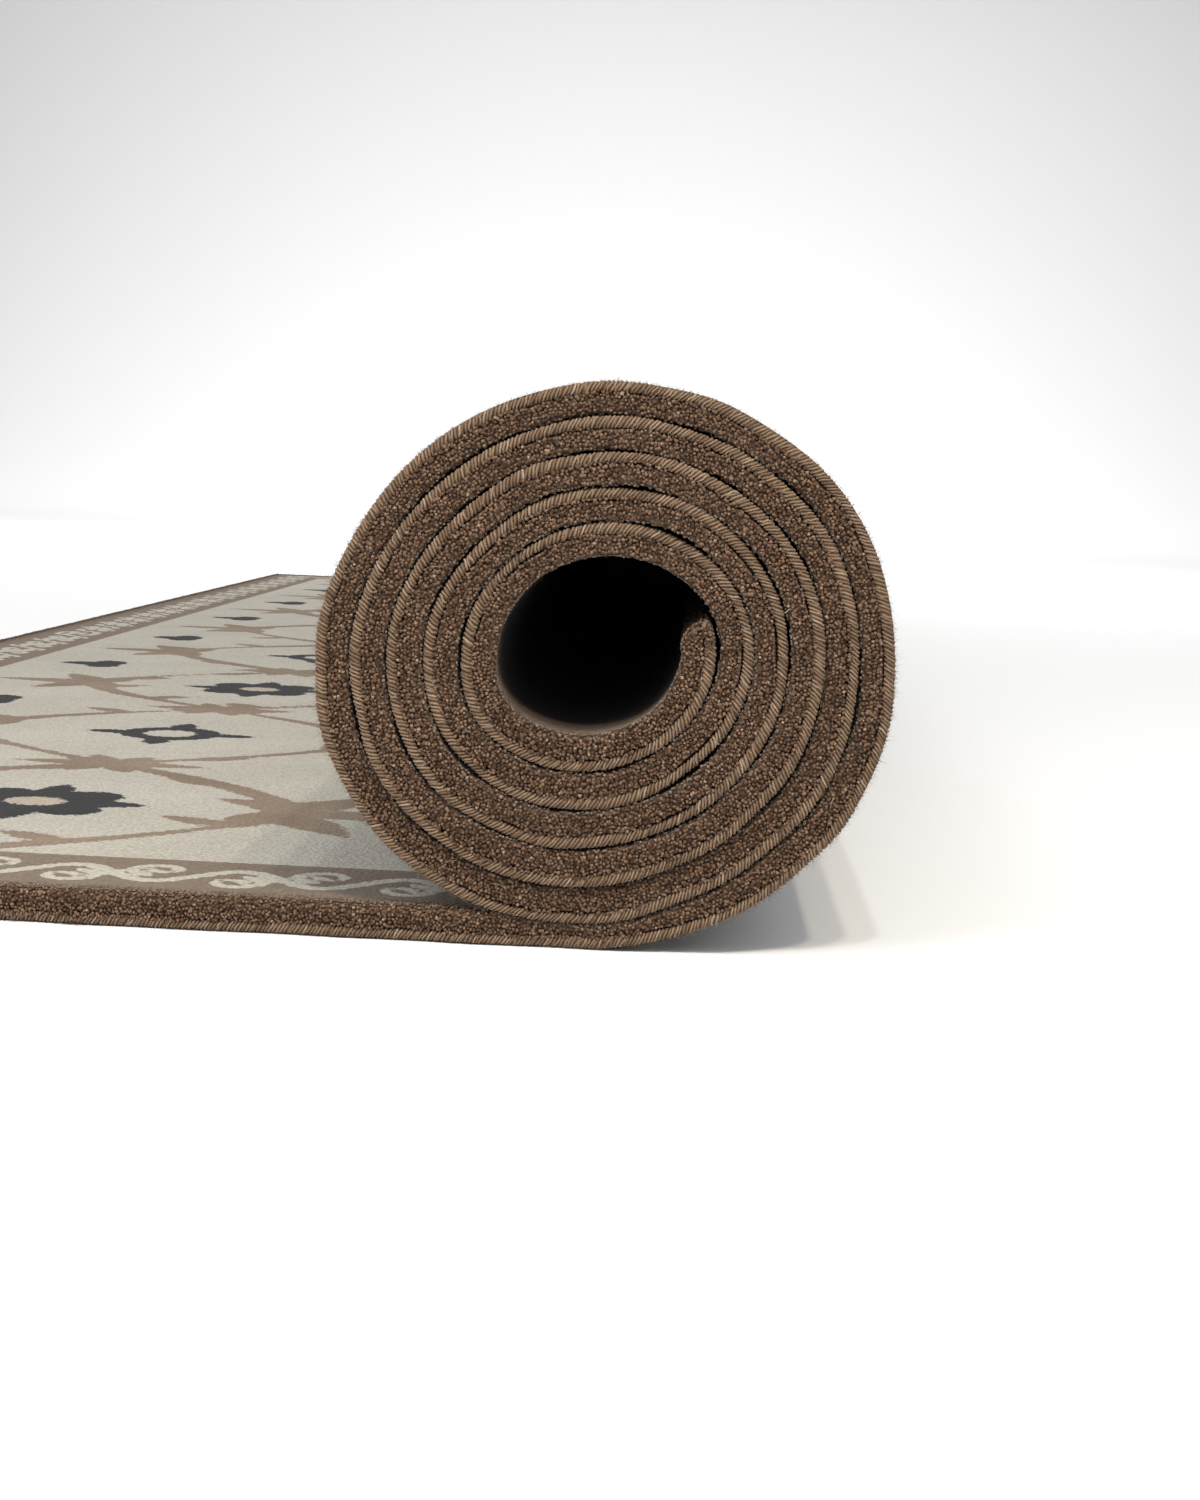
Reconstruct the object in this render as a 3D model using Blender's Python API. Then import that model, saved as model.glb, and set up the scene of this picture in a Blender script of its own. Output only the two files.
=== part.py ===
"""A hand-tufted wool carpet of 8 by 10 feet, rolled up from one short end and left lying on its loose end.

The pile faces inwards in the roll and upwards on the flat end. The carpet is made of these pieces:
a tufted pile panel, a dark backing cloth glued under it, and a yarn edge that is overcast round all
four sides. The roll's turns are wound by rule: each turn lies on the back of the one before it.

Metres, +Z up. +Y runs along the roll from its near end to its far one, and the loose end lies to -X.
The origin is on the floor, in the middle of the box that holds the carpet.
"""

import math

import bmesh
import bpy
import numpy as np

MM = 0.001

# The carpet is 2.438 m wide (8 ft) and about 3.05 m long (10 ft), of which this much lies flat
CARPET_WIDTH = 2.438
LOOSE_LENGTH = 0.5875

# Thickness of the carpet where it lies free, and of the layers inside it
LOOSE_THICKNESS = 13.6 * MM
BACKING_THICKNESS = 1.2 * MM
LAYER_GAP = 0.3 * MM
PILE_ROUNDING = 2.8 * MM
PILE_TUCK = 0.8 * MM
PILE_TUCK_RISE = 1.2 * MM

# The overcast yarn edge, a round bead along the back of every side
BEAD_RADIUS = 2.4 * MM
BEAD_PROUD = 0.5 * MM
BEAD_SIDES_SETTING = 1

# How the roll is wound: directions turn clockwise from +X, seen from the near end
TURN_STATIONS = 48
FIRST_DIRECTION = math.radians(-15)
FLOOR_DIRECTION = math.radians(5 * 360 + 90)
SQUEEZE_FROM = math.radians(5 * 360 + 54)
AXIS_HEIGHT = 121.3 * MM
TURN_GAP = 0.7 * MM
FLOOR_GAP = 0.45 * MM

# The roll sags under its own weight, so the core and the turns over it are wider low down at the left
ROLL = (
    # direction_deg, core_radius_mm, turn_pitch_mm
    (0, 30.0, 13.83),
    (30, 30.4, 14.48),
    (60, 32.5, 14.53),
    (90, 35.1, 15.28),
    (120, 40.1, 15.45),
    (150, 45.3, 14.70),
    (180, 42.4, 14.30),
    (210, 37.4, 13.55),
    (240, 35.0, 13.34),
    (270, 34.1, 13.38),
    (300, 36.8, 13.40),
    (330, 40.5, 13.70),
)

# The outer turns have slid along the roll, so its ends are a little stepped
SLIDE_OUTER = 3.2 * MM
SLIDE_FROM_TURN = 3.0
SLIDE_TO_TURN = 5.0
SLIDE_WAVER = 0.5 * MM
SLIDE_WAVES = 1.7

PILE_INSET = BACKING_THICKNESS + LAYER_GAP
BEAD_INNER_SIDE = 2 * BEAD_RADIUS - BEAD_PROUD
NOTCH_DEPTH = BEAD_INNER_SIDE + LAYER_GAP
NOTCH_TOP = 2 * BEAD_RADIUS + LAYER_GAP
BACKING_INSET = BEAD_INNER_SIDE + LAYER_GAP


def clear_scene():
    for obj in list(bpy.data.objects):
        bpy.data.objects.remove(obj)


def collection(name):
    made = bpy.data.collections.new(name)
    bpy.context.scene.collection.children.link(made)
    return made


def material(name, colour, roughness):
    made = bpy.data.materials.new(name)
    made.use_nodes = True
    surface = made.node_tree.nodes["Principled BSDF"]
    surface.inputs["Base Color"].default_value = (*colour, 1.0)
    surface.inputs["Roughness"].default_value = roughness
    surface.inputs["Metallic"].default_value = 0.0
    return made


def smooth_step(x):
    x = np.clip(x, 0.0, 1.0)
    return x * x * (3 - 2 * x)


def unit(vector):
    return vector / np.linalg.norm(vector)


def around(values, directions):
    """Smooth closed curve through a column of the ROLL table (a Catmull-Rom curve)."""
    place = (directions % (2 * math.pi)) / (2 * math.pi) * len(values)
    before = np.floor(place).astype(int)
    share = place - before
    p0, p1, p2, p3 = (values[(before + k) % len(values)] for k in (-1, 0, 1, 2))
    return p1 + 0.5 * share * (
        p2 - p0 + share * (2 * p0 - 5 * p1 + 4 * p2 - p3 + share * (3 * (p1 - p2) + p3 - p0))
    )


def wind_roll():
    """(pile line, back line) of the wound turns as rows of x and z.

    The pile's radius grows by the turn pitch in every turn, and its back lies one gap short of the
    next turn. The last quarter turn is squeezed until its back touches the floor.
    """
    degrees, core, pitch = np.array(ROLL).T
    step = 2 * math.pi / TURN_STATIONS
    directions = np.arange(FIRST_DIRECTION, FLOOR_DIRECTION + step / 2, step)
    spacing = around(pitch * MM, directions)
    pile = around((core - pitch * degrees / 360) * MM, directions) + spacing * directions / (2 * math.pi)
    squeeze = smooth_step((directions - SQUEEZE_FROM) / (FLOOR_DIRECTION - SQUEEZE_FROM))
    loose = spacing - TURN_GAP
    back = pile + loose + (AXIS_HEIGHT - pile[-1] - loose[-1]) * squeeze
    ray = np.column_stack((np.cos(directions), -np.sin(directions)))
    axis = (0.0, AXIS_HEIGHT)
    return ray * pile[:, None] + axis, ray * back[:, None] + axis


def lay_loose_end(pile, back):
    """Adds the flat loose end. Its pile is pressed under the roll and stands up again beside it."""
    over = back[-TURN_STATIONS:]
    xs, tops = [], []
    for x, height in over:
        if not tops or tops[-1] < LOOSE_THICKNESS:
            xs.append(x)
            tops.append(min(height - FLOOR_GAP, LOOSE_THICKNESS))
    xs.append(-LOOSE_LENGTH)
    tops.append(LOOSE_THICKNESS)
    pile = np.vstack((pile, np.column_stack((xs, tops))))
    back = np.vstack((back, np.column_stack((xs, np.zeros(len(xs))))))
    return pile, back


def slide_at(turn):
    """How far a turn has slid along the roll, away from the near end."""
    outer = SLIDE_OUTER * smooth_step((turn - SLIDE_FROM_TURN) / (SLIDE_TO_TURN - SLIDE_FROM_TURN))
    return outer + SLIDE_WAVER * np.sin(SLIDE_WAVES * turn)


def stations():
    """Rows of pile x, pile z, back x, back z and slide, from the end in the core to the loose end."""
    pile, back = lay_loose_end(*wind_roll())
    turns = np.minimum(np.arange(len(back)) / TURN_STATIONS, FLOOR_DIRECTION / (2 * math.pi))
    return np.column_stack((pile, back, slide_at(turns)))


def cut_back(rows, distance):
    """The same rows with this length taken off both ends, measured along the back."""

    def from_start(rows):
        reach = np.linalg.norm(rows[1, 2:4] - rows[0, 2:4])
        start = rows[0] + (rows[1] - rows[0]) * distance / reach
        return np.vstack((start, rows[1:]))

    return from_start(from_start(rows)[::-1])[::-1]


def with_rounded_ends(rows):
    """Adds a station near each end, and lowers the pile on the very ends."""
    inner = cut_back(rows, PILE_ROUNDING)[[0, -1]]
    rows = np.vstack((rows[0], inner[0], rows[1:-1], inner[1], rows[-1]))
    for end in (0, -1):
        height = rows[end, 0:2] - rows[end, 2:4]
        rows[end, 0:2] -= unit(height) * PILE_ROUNDING
    return rows


def ring_at(row, section):
    """Points of one cross-section: section gives (distance from the near side, height over the back)."""
    pile, back, slide = row[0:2], row[2:4], row[4]
    up = unit(pile - back)
    points = []
    for across, height in section(np.linalg.norm(pile - back)):
        x, z = back + up * height
        points.append((x, slide + across, z))
    return points


def pile_section(thickness):
    """Cross-section of the pile panel: rounded pile edges, tucked in over a notch for each yarn bead."""
    near_side = (
        (NOTCH_DEPTH, PILE_INSET),
        (NOTCH_DEPTH, NOTCH_TOP),
        (PILE_TUCK, NOTCH_TOP),
        (0.0, NOTCH_TOP + PILE_TUCK_RISE),
        (0.0, thickness - PILE_ROUNDING),
        (PILE_ROUNDING, thickness),
    )
    far_side = [(CARPET_WIDTH - across, height) for across, height in reversed(near_side)]
    return [*near_side, *far_side]


def backing_section(thickness):
    """Cross-section of the backing cloth, a strip between the two beads that is as thick everywhere."""
    far = CARPET_WIDTH - BACKING_INSET
    return [(BACKING_INSET, 0.0), (BACKING_INSET, BACKING_THICKNESS), (far, BACKING_THICKNESS), (far, 0.0)]


def loft(name, rows, section, finish, into):
    """One closed body through the cross-sections of all rows, with its two ends filled."""
    shape = bmesh.new()
    rings = [[shape.verts.new(point) for point in ring_at(row, section)] for row in rows]
    for first, second in zip(rings, rings[1:]):
        for k in range(len(first)):
            after = (k + 1) % len(first)
            shape.faces.new((first[k], first[after], second[after], second[k]))
    shape.faces.new(rings[0])
    shape.faces.new(rings[-1])
    bmesh.ops.recalc_face_normals(shape, faces=shape.faces)
    mesh = bpy.data.meshes.new(name)
    shape.to_mesh(mesh)
    shape.free()
    mesh.shade_smooth()
    mesh.set_sharp_from_angle(angle=math.radians(35))
    obj = bpy.data.objects.new(name, mesh)
    obj.data.materials.append(finish)
    into.objects.link(obj)
    return obj


def bead(name, points, finish, into):
    """A round yarn bead along a line of points."""
    curve = bpy.data.curves.new(name, "CURVE")
    curve.dimensions = "3D"
    curve.bevel_depth = BEAD_RADIUS
    curve.bevel_resolution = BEAD_SIDES_SETTING
    curve.use_fill_caps = True
    spline = curve.splines.new("POLY")
    spline.points.add(len(points) - 1)
    for place, point in zip(spline.points, points):
        place.co = (*point, 1.0)
    obj = bpy.data.objects.new(name, curve)
    obj.data.materials.append(finish)
    into.objects.link(obj)
    return obj


def bead_line(rows, across):
    """Centre line of the bead along one side, cut back to leave room for the beads on the ends."""

    def section(thickness):
        return [(across, BEAD_RADIUS)]

    return [ring_at(row, section)[0] for row in cut_back(rows, NOTCH_DEPTH + 2 * LAYER_GAP)]


def end_frame(rows, end):
    """(point, direction into the carpet, direction up through it) at one end, in the XZ plane."""
    start, after = (rows[0], rows[1]) if end == "inner" else (rows[-1], rows[-2])
    inwards = unit(after[2:4] - start[2:4])
    up = np.array((-inwards[1], inwards[0]))
    if up @ (start[0:2] - start[2:4]) < 0:
        up = -up
    return start, inwards, up


def end_bead(name, rows, end, finish, into):
    """The bead across one end, as long as the carpet is wide."""
    start, inwards, up = end_frame(rows, end)
    centre = start[2:4] + inwards * (BEAD_RADIUS - BEAD_PROUD) + up * BEAD_RADIUS
    near, far = start[4] - BEAD_PROUD, start[4] + CARPET_WIDTH + BEAD_PROUD
    return bead(name, [(centre[0], near, centre[1]), (centre[0], far, centre[1])], finish, into)


def end_notch(name, rows, end, target, into):
    """Cuts the seat of the end bead out of the pile panel, with a box that is longer than the panel."""
    start, inwards, up = end_frame(rows, end)
    margin = 6 * MM
    centre = start[2:4] + inwards * (NOTCH_DEPTH - margin) / 2 + up * (NOTCH_TOP - margin) / 2
    shape = bmesh.new()
    bmesh.ops.create_cube(shape, size=1.0)
    sizes = (NOTCH_DEPTH + margin, CARPET_WIDTH + 2 * margin, NOTCH_TOP + margin)
    bmesh.ops.scale(shape, vec=sizes, verts=shape.verts)
    mesh = bpy.data.meshes.new(name)
    shape.to_mesh(mesh)
    shape.free()
    cutter = bpy.data.objects.new(name, mesh)
    cutter.location = (centre[0], start[4] + CARPET_WIDTH / 2, centre[1])
    cutter.rotation_euler = (0.0, -math.atan2(inwards[1], inwards[0]), 0.0)
    cutter.hide_render = True
    cutter.display_type = "WIRE"
    into.objects.link(cutter)
    cut = target.modifiers.new(name, "BOOLEAN")
    cut.operation = "DIFFERENCE"
    cut.object = cutter
    return cutter


def main():
    clear_scene()
    carpet = collection("rolled_carpet")
    cutters = collection("cutters")
    wool = material("brown_wool_pile", (0.14, 0.085, 0.055), 0.95)
    yarn = material("edge_yarn", (0.24, 0.155, 0.105), 0.9)
    cloth = material("dark_backing_cloth", (0.03, 0.032, 0.038), 0.9)
    rows = stations()
    pieces = [loft("tufted_pile", with_rounded_ends(rows), pile_section, wool, carpet)]
    pieces.append(loft("backing_cloth", cut_back(rows, BACKING_INSET), backing_section, cloth, carpet))
    for name, across in (
        ("side_binding_near", BEAD_RADIUS - BEAD_PROUD),
        ("side_binding_far", CARPET_WIDTH - BEAD_RADIUS + BEAD_PROUD),
    ):
        pieces.append(bead(name, bead_line(rows, across), yarn, carpet))
    for end in ("inner", "outer"):
        pieces.append(end_bead(f"end_binding_{end}", rows, end, yarn, carpet))
        pieces.append(end_notch(f"notch_{end}", rows, end, pieces[0], cutters))
    roll_axis = bpy.data.objects.new("roll_axis_on_floor", None)
    left = rows[:, 2].min() - BEAD_PROUD
    right = rows[:, 2].max()
    near = rows[:, 4].min()
    far = rows[:, 4].max() + CARPET_WIDTH
    roll_axis.location = (-(left + right) / 2, -(near + far) / 2, 0.0)
    carpet.objects.link(roll_axis)
    for piece in pieces:
        piece.parent = roll_axis


main()
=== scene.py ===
"""The looks of a hand-tufted wool carpet, rolled up from a short end and lying on its loose end.

Metres, +Z up, +Y along the roll. The camera looks at the roll's near end, as in the photograph.
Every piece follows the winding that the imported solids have, and adds what they leave out: the
tufts, the overcast yarn, the woven back, the fuzz and the pattern of the pile.
"""

import math

import bpy
import numpy as np
from mathutils import Matrix, Vector


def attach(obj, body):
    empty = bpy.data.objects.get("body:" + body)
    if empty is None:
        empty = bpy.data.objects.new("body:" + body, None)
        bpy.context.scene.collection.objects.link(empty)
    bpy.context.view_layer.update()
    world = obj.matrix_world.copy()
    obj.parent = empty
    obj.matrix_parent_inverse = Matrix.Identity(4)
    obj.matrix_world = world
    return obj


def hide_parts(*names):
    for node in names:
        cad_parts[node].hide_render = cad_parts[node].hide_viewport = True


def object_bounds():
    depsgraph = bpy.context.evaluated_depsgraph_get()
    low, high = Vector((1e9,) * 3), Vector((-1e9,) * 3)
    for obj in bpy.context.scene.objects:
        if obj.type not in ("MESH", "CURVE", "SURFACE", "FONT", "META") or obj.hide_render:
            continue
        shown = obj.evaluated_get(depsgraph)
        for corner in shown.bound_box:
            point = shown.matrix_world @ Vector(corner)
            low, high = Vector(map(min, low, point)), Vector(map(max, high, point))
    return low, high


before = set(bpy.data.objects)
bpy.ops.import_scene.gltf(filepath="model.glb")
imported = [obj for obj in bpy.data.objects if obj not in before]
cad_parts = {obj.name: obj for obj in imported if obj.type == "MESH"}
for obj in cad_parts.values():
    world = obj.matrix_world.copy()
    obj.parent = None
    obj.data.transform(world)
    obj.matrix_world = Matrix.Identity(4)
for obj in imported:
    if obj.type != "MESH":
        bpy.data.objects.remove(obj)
solids_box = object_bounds()


# The winding. The carpet is wound by rule: its pile's distance from the roll's axis grows by the
# turn pitch in every turn, and its back lies a small gap short of the next turn. The last quarter
# turn is pressed flat on the floor, and the loose end runs out from it to -X.

MM = 0.001
TURN = 2 * math.pi
FIRST_DIRECTION = math.radians(-15)
FLOOR_DIRECTION = math.radians(5 * 360 + 90)
SQUEEZE_FROM = math.radians(5 * 360 + 54)
AXIS_HEIGHT = 121.3 * MM
TURN_GAP = 0.7 * MM
FLOOR_GAP = 0.45 * MM
STEP_DEG = 0.5
EASING = 0.8 * MM
LOOSE_LENGTH = 0.5875
LOOSE_THICKNESS = 13.6 * MM
WIDTH = 2.438
YARN_PROUD = 0.5 * MM

ROLL = (
    # direction_deg, core_radius_mm, turn_pitch_mm
    (0, 30.0, 13.83),
    (30, 30.4, 14.48),
    (60, 32.5, 14.53),
    (90, 35.1, 15.28),
    (120, 40.1, 15.45),
    (150, 45.3, 14.70),
    (180, 42.4, 14.30),
    (210, 37.4, 13.55),
    (240, 35.0, 13.34),
    (270, 34.1, 13.38),
    (300, 36.8, 13.40),
    (330, 40.5, 13.70),
)


def smooth_step(x):
    """0 below 0, 1 above 1, and 3x^2 - 2x^3 between."""
    x = np.clip(x, 0.0, 1.0)
    return x * x * (3 - 2 * x)


def around(values, directions):
    """Smooth closed curve through a column of the ROLL table (a Catmull-Rom curve)."""
    place = (directions % TURN) / TURN * len(values)
    before = np.floor(place).astype(int)
    share = place - before
    p0, p1, p2, p3 = (values[(before + k) % len(values)] for k in (-1, 0, 1, 2))
    return p1 + 0.5 * share * (
        p2 - p0 + share * (2 * p0 - 5 * p1 + 4 * p2 - p3 + share * (3 * (p1 - p2) + p3 - p0))
    )


def slide_at(turns):
    """How far a turn has slid away from the near end: 3.2 mm for the outer two, and a small wave."""
    return 3.2 * MM * smooth_step((turns - 3) / 2) + 0.5 * MM * np.sin(1.7 * turns)


def wind():
    """(pile line, back line, slide) of the whole carpet, as dense rows of x and z from the inner end.

    Pile radius = core radius + pitch * turns. Back radius = pile radius + pitch - gap, eased to the
    axis height where it meets the floor. The loose end's pile stays a gap under the roll's fifth turn.
    """
    degrees, core, pitch = np.array(ROLL).T
    directions = np.arange(FIRST_DIRECTION, FLOOR_DIRECTION, math.radians(STEP_DEG))
    directions = np.append(directions, FLOOR_DIRECTION)
    spacing = around(pitch * MM, directions)
    pile = around((core - pitch * degrees / 360) * MM, directions) + spacing * directions / TURN
    squeeze = smooth_step((directions - SQUEEZE_FROM) / (FLOOR_DIRECTION - SQUEEZE_FROM))
    loose = spacing - TURN_GAP
    back = pile + loose + (AXIS_HEIGHT - pile[-1] - loose[-1]) * squeeze
    ray = np.column_stack((np.cos(directions), -np.sin(directions)))
    pile = ray * pile[:, None] + (0.0, AXIS_HEIGHT)
    back = ray * back[:, None] + (0.0, AXIS_HEIGHT)
    over = back[-round(360 / STEP_DEG) :][::-1]
    over = over[over[:, 0].argmin() :]
    xs = -np.arange(1 * MM, LOOSE_LENGTH, 1 * MM)
    xs = np.append(xs, -LOOSE_LENGTH)
    room = np.interp(xs, over[:, 0], over[:, 1], left=1.0) - FLOOR_GAP
    tops = LOOSE_THICKNESS - EASING * np.log1p(np.exp((LOOSE_THICKNESS - room) / EASING))
    pile = np.vstack((pile, np.column_stack((xs, tops))))
    back = np.vstack((back, np.column_stack((xs, np.zeros(len(xs))))))
    turns = np.append(directions - FIRST_DIRECTION, np.full(len(xs), directions[-1])) / TURN
    return pile, back, slide_at(turns)


PILE_LINE, BACK_LINE, SLIDE = wind()
MIDDLE_LINE = (PILE_LINE + BACK_LINE) / 2
REACH = np.append(0.0, np.cumsum(np.linalg.norm(np.diff(MIDDLE_LINE, axis=0), axis=1)))
HEADING = np.gradient(MIDDLE_LINE, REACH, axis=0)
LENGTH = REACH[-1]
FLAT_FROM = LENGTH - LOOSE_LENGTH
WAVER_ACROSS = (0.5 * np.sin(134 * REACH + 2 * np.sin(11 * REACH)) + 0.35 * np.sin(56 * REACH + 1.3)) * MM
WAVER_UP = (0.34 * np.sin(103 * REACH + 1.7 * np.sin(32 * REACH)) + 0.26 * np.sin(61 * REACH)) * MM
WAVER_UP *= 1 - smooth_step((REACH - FLAT_FROM + 0.10) / 0.06)
WAVER_FADE = 15 * MM
AXIS_X = solids_box[0][0] + YARN_PROUD + LOOSE_LENGTH
NEAR_Y = solids_box[0][1] + YARN_PROUD - SLIDE.min()


def along(line, reach):
    """A column or line of the winding at these distances from the inner end."""
    if line.ndim == 1:
        return np.interp(reach, REACH, line)
    return np.stack([np.interp(reach, REACH, column) for column in line.T], axis=-1)


def place(reach, across, height):
    """Points of the carpet in the scene: reach from the inner end, across from the near side.

    height is measured over the back, along the line from the back to the pile. A reach outside the
    carpet goes straight on from its end. The edges waver by half a millimetre, as wound by hand.
    """
    inside = np.clip(reach, 0.0, LENGTH)
    back, pile = along(BACK_LINE, inside), along(PILE_LINE, inside)
    up = (pile - back) / np.linalg.norm(pile - back, axis=-1, keepdims=True)
    by_edge = np.exp(-np.maximum(np.minimum(across, WIDTH - across), 0.0) / WAVER_FADE)
    height = height + along(WAVER_UP, inside) * by_edge
    flat = back + up * height[..., None] + along(HEADING, inside) * (reach - inside)[..., None]
    y = NEAR_Y + along(SLIDE, inside) + across + along(WAVER_ACROSS, inside) * by_edge
    return np.stack((AXIS_X + flat[..., 0], y, flat[..., 1]), axis=-1)


def thickness(reach):
    """Distance from the back to the pile's tips."""
    return np.linalg.norm(along(PILE_LINE, reach) - along(BACK_LINE, reach), axis=-1)


# The camera stands 0.85 m in front of the roll's end with a lens of about 53 mm, looks a little
# down and a little left, and is turned by 2.4 degrees about its own axis. Floor and wall are one
# white sweep whose wall glows with painted light, most in its middle. Three small lamps and two
# soft ones stand high up in front of the roll, one more hangs over the far floor, and a dim white
# room is round it.

CAMERA_FROM_AXIS = (29.8 * MM, -845.9 * MM, 66.1 * MM)
CAMERA_DOWN, CAMERA_LEFT, CAMERA_ROLL = (math.radians(a) for a in (7.23, 2.06, 2.40))
FOCAL_PIXELS, FRAME_HEIGHT_PIXELS, SENSOR_HEIGHT = 2200, 1500, 36.0

lens = bpy.data.cameras.new("camera")
lens.sensor_fit = "VERTICAL"
lens.sensor_height = SENSOR_HEIGHT
lens.lens = SENSOR_HEIGHT * FOCAL_PIXELS / FRAME_HEIGHT_PIXELS
lens.clip_start = 0.02
camera = bpy.data.objects.new("camera", lens)
bpy.context.scene.collection.objects.link(camera)
bpy.context.scene.camera = camera
camera.matrix_world = (
    Matrix.Translation(
        (AXIS_X + CAMERA_FROM_AXIS[0], NEAR_Y + CAMERA_FROM_AXIS[1], AXIS_HEIGHT + CAMERA_FROM_AXIS[2])
    )
    @ Matrix.Rotation(CAMERA_LEFT, 4, "Z")
    @ Matrix.Rotation(-CAMERA_DOWN, 4, "X")
    @ Matrix.Rotation(-CAMERA_ROLL, 4, "Y")
    @ Matrix.Rotation(math.pi / 2, 4, "X")
)


def mesh_piece(name, points, faces, caps=()):
    """An object from an array of points, an array of faces of one size, and a few faces of any size."""
    mesh = bpy.data.meshes.new(name)
    mesh.from_pydata(points.reshape(-1, 3).tolist(), [], faces.tolist() + [list(cap) for cap in caps])
    mesh.polygons.foreach_set("use_smooth", np.ones(len(mesh.polygons), dtype=bool))
    mesh.update()
    obj = bpy.data.objects.new(name, mesh)
    bpy.context.scene.collection.objects.link(obj)
    return obj


def grid_faces(rows, columns, closed=False):
    """Four-cornered faces of a grid of points. A closed grid's last column meets its first."""
    index = np.arange(rows * columns).reshape(rows, columns)
    if closed:
        index = np.hstack((index, index[:, :1]))
    quads = (index[:-1, :-1], index[:-1, 1:], index[1:, 1:], index[1:, :-1])
    return np.stack(quads, axis=-1).reshape(-1, 4)


def white_sweep():
    """Floor, bend and wall: a profile of a line, a quarter circle and a line, carried along X."""
    wall_y, bend, near_y, top, half_width, lowered = 7.0, 2.0, -6.0, 6.0, 8.0, 0.1 * MM
    turn = np.linspace(0, math.pi / 2, 17)
    profile_y = np.concatenate(([near_y], wall_y - bend + bend * np.sin(turn), [wall_y]))
    profile_z = np.concatenate(([0.0], bend - bend * np.cos(turn), [top])) - lowered
    points = np.empty((2, len(profile_y), 3))
    points[..., 0] = np.array((half_width, -half_width))[:, None]
    points[..., 1] = profile_y
    points[..., 2] = profile_z
    return mesh_piece("white_sweep", points, grid_faces(2, len(profile_y)))


class Socket:
    """A material's socket in an expression: arithmetic on it adds Math nodes."""

    def __init__(self, tree, socket):
        self.tree = tree
        self.socket = socket

    def node(self, kind, settings, inputs, output=0):
        """Adds a node of this kind: first its settings, then the values or links of its sockets."""
        made = self.tree.nodes.new("ShaderNode" + kind)
        for name, value in settings.items():
            setattr(made, name, value)
        for name, value in inputs.items():
            if isinstance(value, Socket):
                self.tree.links.new(value.socket, made.inputs[name])
            else:
                made.inputs[name].default_value = value
        return Socket(self.tree, made.outputs[output])

    def math(self, operation, *values):
        """Adds one Math node."""
        return self.node("Math", {"operation": operation}, dict(enumerate(values)))

    def __add__(self, other):
        return self.math("ADD", self, other)

    def __sub__(self, other):
        return self.math("SUBTRACT", self, other)

    def __rsub__(self, other):
        return self.math("SUBTRACT", other, self)

    def __mul__(self, other):
        return self.math("MULTIPLY", self, other)

    def __truediv__(self, other):
        return self.math("DIVIDE", self, other)

    def __rtruediv__(self, other):
        return self.math("DIVIDE", other, self)

    __radd__ = __add__

    def step(self, low, high):
        """0 where the value is under low, 1 over high, and smooth between. It falls where low > high."""
        settings = {"interpolation_type": "SMOOTHSTEP"}
        if low > high:
            return 1 - self.node("MapRange", settings, {0: self, 1: high, 2: low})
        return self.node("MapRange", settings, {0: self, 1: low, 2: high})

    def blend(self, low, high):
        """A colour: low where the value is 0, high where it is 1."""
        return self.node("Mix", {"data_type": "RGBA"}, {0: self, 6: low, 7: high}, 2)

    def noise(self, scale, detail=2.0):
        """Cloudy values round 0.5, with this many clouds a metre, on this vector."""
        return self.node("TexNoise", {}, {"Vector": self, "Scale": scale, "Detail": detail})

    def cells(self, scale):
        """Distance from the middles of scattered cells, in cells, on this vector."""
        return self.node("TexVoronoi", {}, {"Vector": self, "Scale": scale})

    def stretch(self, x, y, z):
        """This vector with its parts multiplied by three numbers."""
        return self.node("VectorMath", {"operation": "MULTIPLY"}, {0: self, 1: (x, y, z)})


def finish(name, roughness=0.95, sheen=0.0):
    """A new material with its Principled shader. Returns the material, the shader and a first socket."""
    material = bpy.data.materials.new(name)
    material.use_nodes = True
    tree = material.node_tree
    shader = tree.nodes["Principled BSDF"]
    shader.inputs["Roughness"].default_value = roughness
    shader.inputs["Specular IOR Level"].default_value = 0.06
    shader.inputs["Sheen Weight"].default_value = sheen
    shader.inputs["Sheen Roughness"].default_value = 0.5
    coordinates = tree.nodes.new("ShaderNodeTexCoord")
    return material, shader, Socket(tree, coordinates.outputs["Object"])


def kept(start, name):
    """The number that a piece keeps under this name."""
    return start.node("Attribute", {"attribute_name": name}, {}, "Fac")


def paint(shader, colour, bump=None, distance=1.0 * MM, strength=1.0):
    """Links a colour, and a height in units of distance, to the shader."""
    tree = colour.tree
    tree.links.new(colour.socket, shader.inputs["Base Color"])
    if bump is not None:
        raised = bump.node("Bump", {}, {"Height": bump, "Distance": distance, "Strength": strength})
        tree.links.new(raised.socket, shader.inputs["Normal"])


WALL_MIDDLE_X, WALL_MIDDLE_Z, WALL_AWAY = AXIS_X - 0.25, -0.8, 7.85
WALL_GLOW, WALL_DARKER, GLOW_FROM_Y, GLOW_FULL_Y = 1.07, 0.68, 3.6, 5.6


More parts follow.
